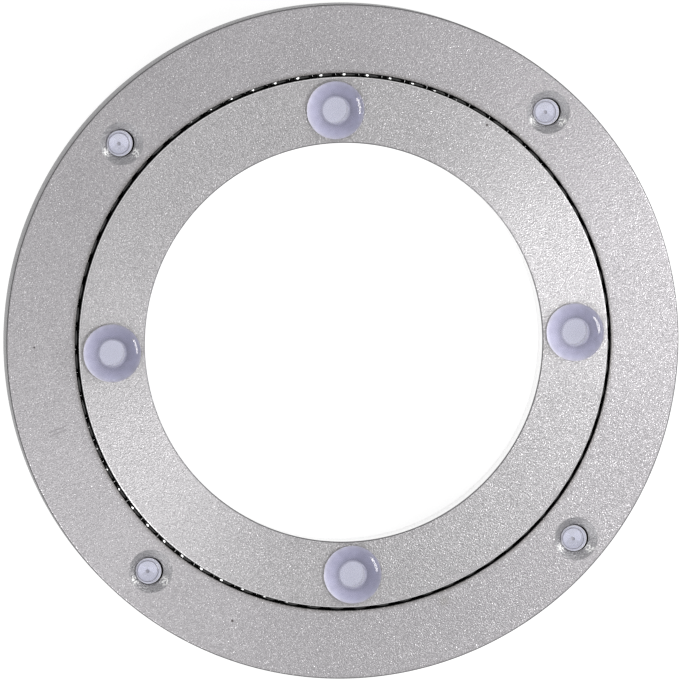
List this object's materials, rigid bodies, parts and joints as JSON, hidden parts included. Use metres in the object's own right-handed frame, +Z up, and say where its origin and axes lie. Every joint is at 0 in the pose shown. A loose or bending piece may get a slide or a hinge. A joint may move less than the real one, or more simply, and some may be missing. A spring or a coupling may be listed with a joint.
{
  "type": "lazy susan bearing",
  "caption": "Flat round turntable bearing: an inner ring turning on balls inside an outer ring, with clear pads above and clear feet below.",
  "frame": {"origin": "on the axis of rotation, in the plane of the feet's undersides", "axes": "+Z up along the axis of rotation, from the feet to the pads; +X midway between two screw holes of the outer ring, over the filling plug"},
  "size_m": [0.14, 0.14, 0.0131],
  "materials": {
    "ring_metal": "fine sandblasted, silver",
    "plug_metal": "turned",
    "ball_steel": "ground and polished bearing steel",
    "clear_pvc": "soft clear vinyl with a lilac tint"
  },
  "bodies": {
    "base": {"outer_ring": "ring_metal", "filling_plug": "plug_metal", "foot_1": "clear_pvc", "foot_2": "clear_pvc", "foot_3": "clear_pvc", "foot_4": "clear_pvc"},
    "turning_ring": {"inner_ring": "ring_metal", "top_pad_1": "clear_pvc", "top_pad_2": "clear_pvc", "top_pad_3": "clear_pvc", "top_pad_4": "clear_pvc"},
    "ball_set": {"steel_balls": "ball_steel"}
  },
  "joints": [
    {"name": "ring_spin", "type": "hinge", "parent": "base", "child": "turning_ring", "pos_m": [0, 0, 0.00655], "axis": [0, 0, 1], "continuous": true},
    {"name": "ball_orbit", "type": "hinge", "parent": "base", "child": "ball_set", "pos_m": [0, 0, 0.00655], "axis": [0, 0, 1], "continuous": true}
  ],
  "couplings": [
    {"joint": "ball_orbit", "follows": "ring_spin", "ratio": 0.4785}
  ]
}
